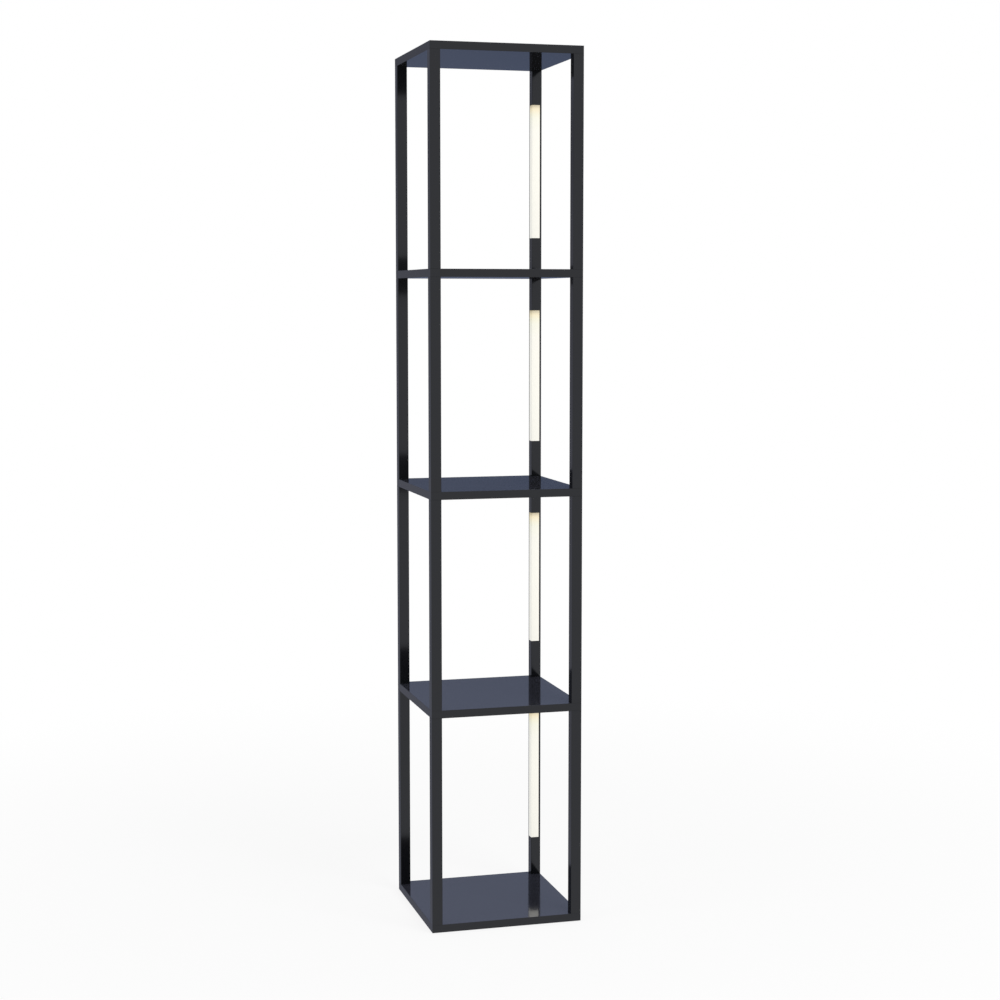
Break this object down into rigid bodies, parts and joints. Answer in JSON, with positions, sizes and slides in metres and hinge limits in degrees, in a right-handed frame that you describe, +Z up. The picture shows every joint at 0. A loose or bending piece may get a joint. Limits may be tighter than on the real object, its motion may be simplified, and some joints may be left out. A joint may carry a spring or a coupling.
{
  "type": "shelf floor lamp",
  "caption": "Tall square shelf tower in near black lacquer; the posts of one rear corner hold upright milky light bars, one in each tier.",
  "frame": {"origin": "on the floor under the middle of the lamp", "axes": "+Z up, the front faces -Y, and the lit column stands at the rear right, at +X and +Y"},
  "size_m": [0.283, 0.283, 1.602],
  "materials": {
    "lacquered_board": "near black lacquer, glossy",
    "lacquered_post": "near black lacquer, satin gloss",
    "diffuser": "milky, lit warm white from behind",
    "channel": "anodised, matt",
    "end_cap": "moulded, matt",
    "circuit_board": "white solder mask",
    "led_chip": "clear over yellow phosphor",
    "connector": "moulded nylon",
    "wire": "insulated copper",
    "inlet_body": "moulded, satin",
    "contact": "bright plated",
    "insert": "machined",
    "steel": "zinc plated",
    "dowel": "bare beech",
    "pad": "matt"
  },
  "bodies": {
    "root": {"base_board": "lacquered_board", "shelf_1": "lacquered_board", "shelf_2": "lacquered_board", "shelf_3": "lacquered_board", "top_board": "lacquered_board", "front_left_post_1": "lacquered_post", "front_right_post_1": "lacquered_post", "rear_left_post_1": "lacquered_post", "light_post_1": "lacquered_post", "light_channel_1": "channel", "light_diffuser_1": "diffuser", "light_end_caps_1": "end_cap", "led_board_1": "circuit_board", "led_chips_1": "led_chip", "front_left_post_2": "lacquered_post", "front_right_post_2": "lacquered_post", "rear_left_post_2": "lacquered_post", "light_post_2": "lacquered_post", "light_channel_2": "channel", "light_diffuser_2": "diffuser", "light_end_caps_2": "end_cap", "led_board_2": "circuit_board", "led_chips_2": "led_chip", "front_left_post_3": "lacquered_post", "front_right_post_3": "lacquered_post", "rear_left_post_3": "lacquered_post", "light_post_3": "lacquered_post", "light_channel_3": "channel", "light_diffuser_3": "diffuser", "light_end_caps_3": "end_cap", "led_board_3": "circuit_board", "led_chips_3": "led_chip", "front_left_post_4": "lacquered_post", "front_right_post_4": "lacquered_post", "rear_left_post_4": "lacquered_post", "light_post_4": "lacquered_post", "light_channel_4": "channel", "light_diffuser_4": "diffuser", "light_end_caps_4": "end_cap", "led_board_4": "circuit_board", "led_chips_4": "led_chip", "led_connectors": "connector", "inlet_lead": "wire", "tier_lead_1": "wire", "tier_lead_2": "wire", "tier_lead_3": "wire", "power_inlet": "inlet_body", "inlet_pin": "contact", "inlet_lug": "contact", "post_inserts": "insert", "top_board_inserts": "insert", "joining_studs": "steel", "top_studs": "steel", "base_bolts": "steel", "base_washers": "steel", "long_dowels": "dowel", "short_dowels": "dowel", "foot_pads": "pad"}
  },
  "joints": []
}
